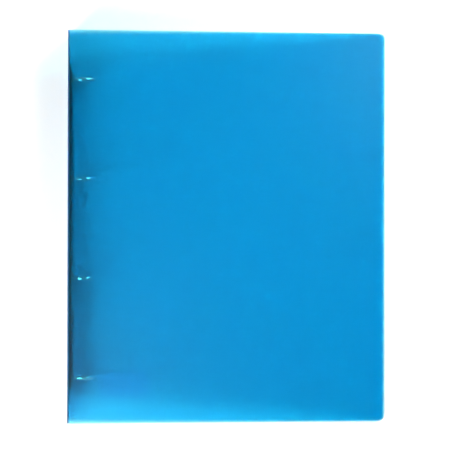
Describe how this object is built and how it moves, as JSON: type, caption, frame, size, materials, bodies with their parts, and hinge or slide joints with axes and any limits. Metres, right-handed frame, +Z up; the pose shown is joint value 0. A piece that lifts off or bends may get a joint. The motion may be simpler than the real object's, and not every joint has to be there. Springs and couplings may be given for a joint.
{
  "type": "ring binder",
  "caption": "Closed ring binder in frosted see-through plastic: flat covers fold at the spine on living hinges, and steel rings on the spine open in halves.",
  "frame": {"origin": "centre of the bottom of the closed binder, on the surface that it lies on", "axes": "+X from the spine to the fore edge, +Y up the spine, +Z up through the front cover"},
  "size_m": [0.2572, 0.316, 0.0299],
  "materials": {
    "cover_plastic": "frosted see-through blue polypropylene, 1 mm sheet",
    "mechanism_steel": "nickel-plated steel, lightly brushed",
    "blade_steel": "plain rolled steel strip",
    "label": "blank matt film label"
  },
  "bodies": {
    "back": {"back_cover": "cover_plastic", "back_living_hinge": "cover_plastic", "outer_label": "label"},
    "spine": {"spine_panel": "cover_plastic", "front_living_hinge": "cover_plastic", "mechanism_plate": "mechanism_steel", "mechanism_rivets": "mechanism_steel"},
    "front": {"front_cover": "cover_plastic"},
    "upper_rings": {"upper_blade": "blade_steel", "upper_ring_half_1": "mechanism_steel", "upper_ring_half_2": "mechanism_steel", "upper_ring_half_3": "mechanism_steel", "upper_ring_half_4": "mechanism_steel"},
    "lower_rings": {"lower_blade": "blade_steel", "lower_ring_half_1": "mechanism_steel", "lower_ring_half_2": "mechanism_steel", "lower_ring_half_3": "mechanism_steel", "lower_ring_half_4": "mechanism_steel"}
  },
  "joints": [
    {"name": "back_hinge", "type": "hinge", "parent": "back", "child": "spine", "pos_m": [-0.12735, 0, 0.0005], "axis": [0, -1, 0], "range_deg": [0, 90], "deforming": ["back_living_hinge"]},
    {"name": "front_hinge", "type": "hinge", "parent": "spine", "child": "front", "pos_m": [-0.12735, 0, 0.0295], "axis": [0, -1, 0], "range_deg": [0, 96.2], "deforming": ["front_living_hinge"]},
    {"name": "upper_rings_pivot", "type": "hinge", "parent": "spine", "child": "upper_rings", "pos_m": [-0.1253, 0, 0.02205], "axis": [0, -1, 0], "range_deg": [0, 12]},
    {"name": "lower_rings_pivot", "type": "hinge", "parent": "spine", "child": "lower_rings", "pos_m": [-0.1253, 0, 0.00635], "axis": [0, 1, 0], "range_deg": [0, 12]}
  ],
  "couplings": [
    {"joint": "lower_rings_pivot", "follows": "upper_rings_pivot", "ratio": 1}
  ]
}
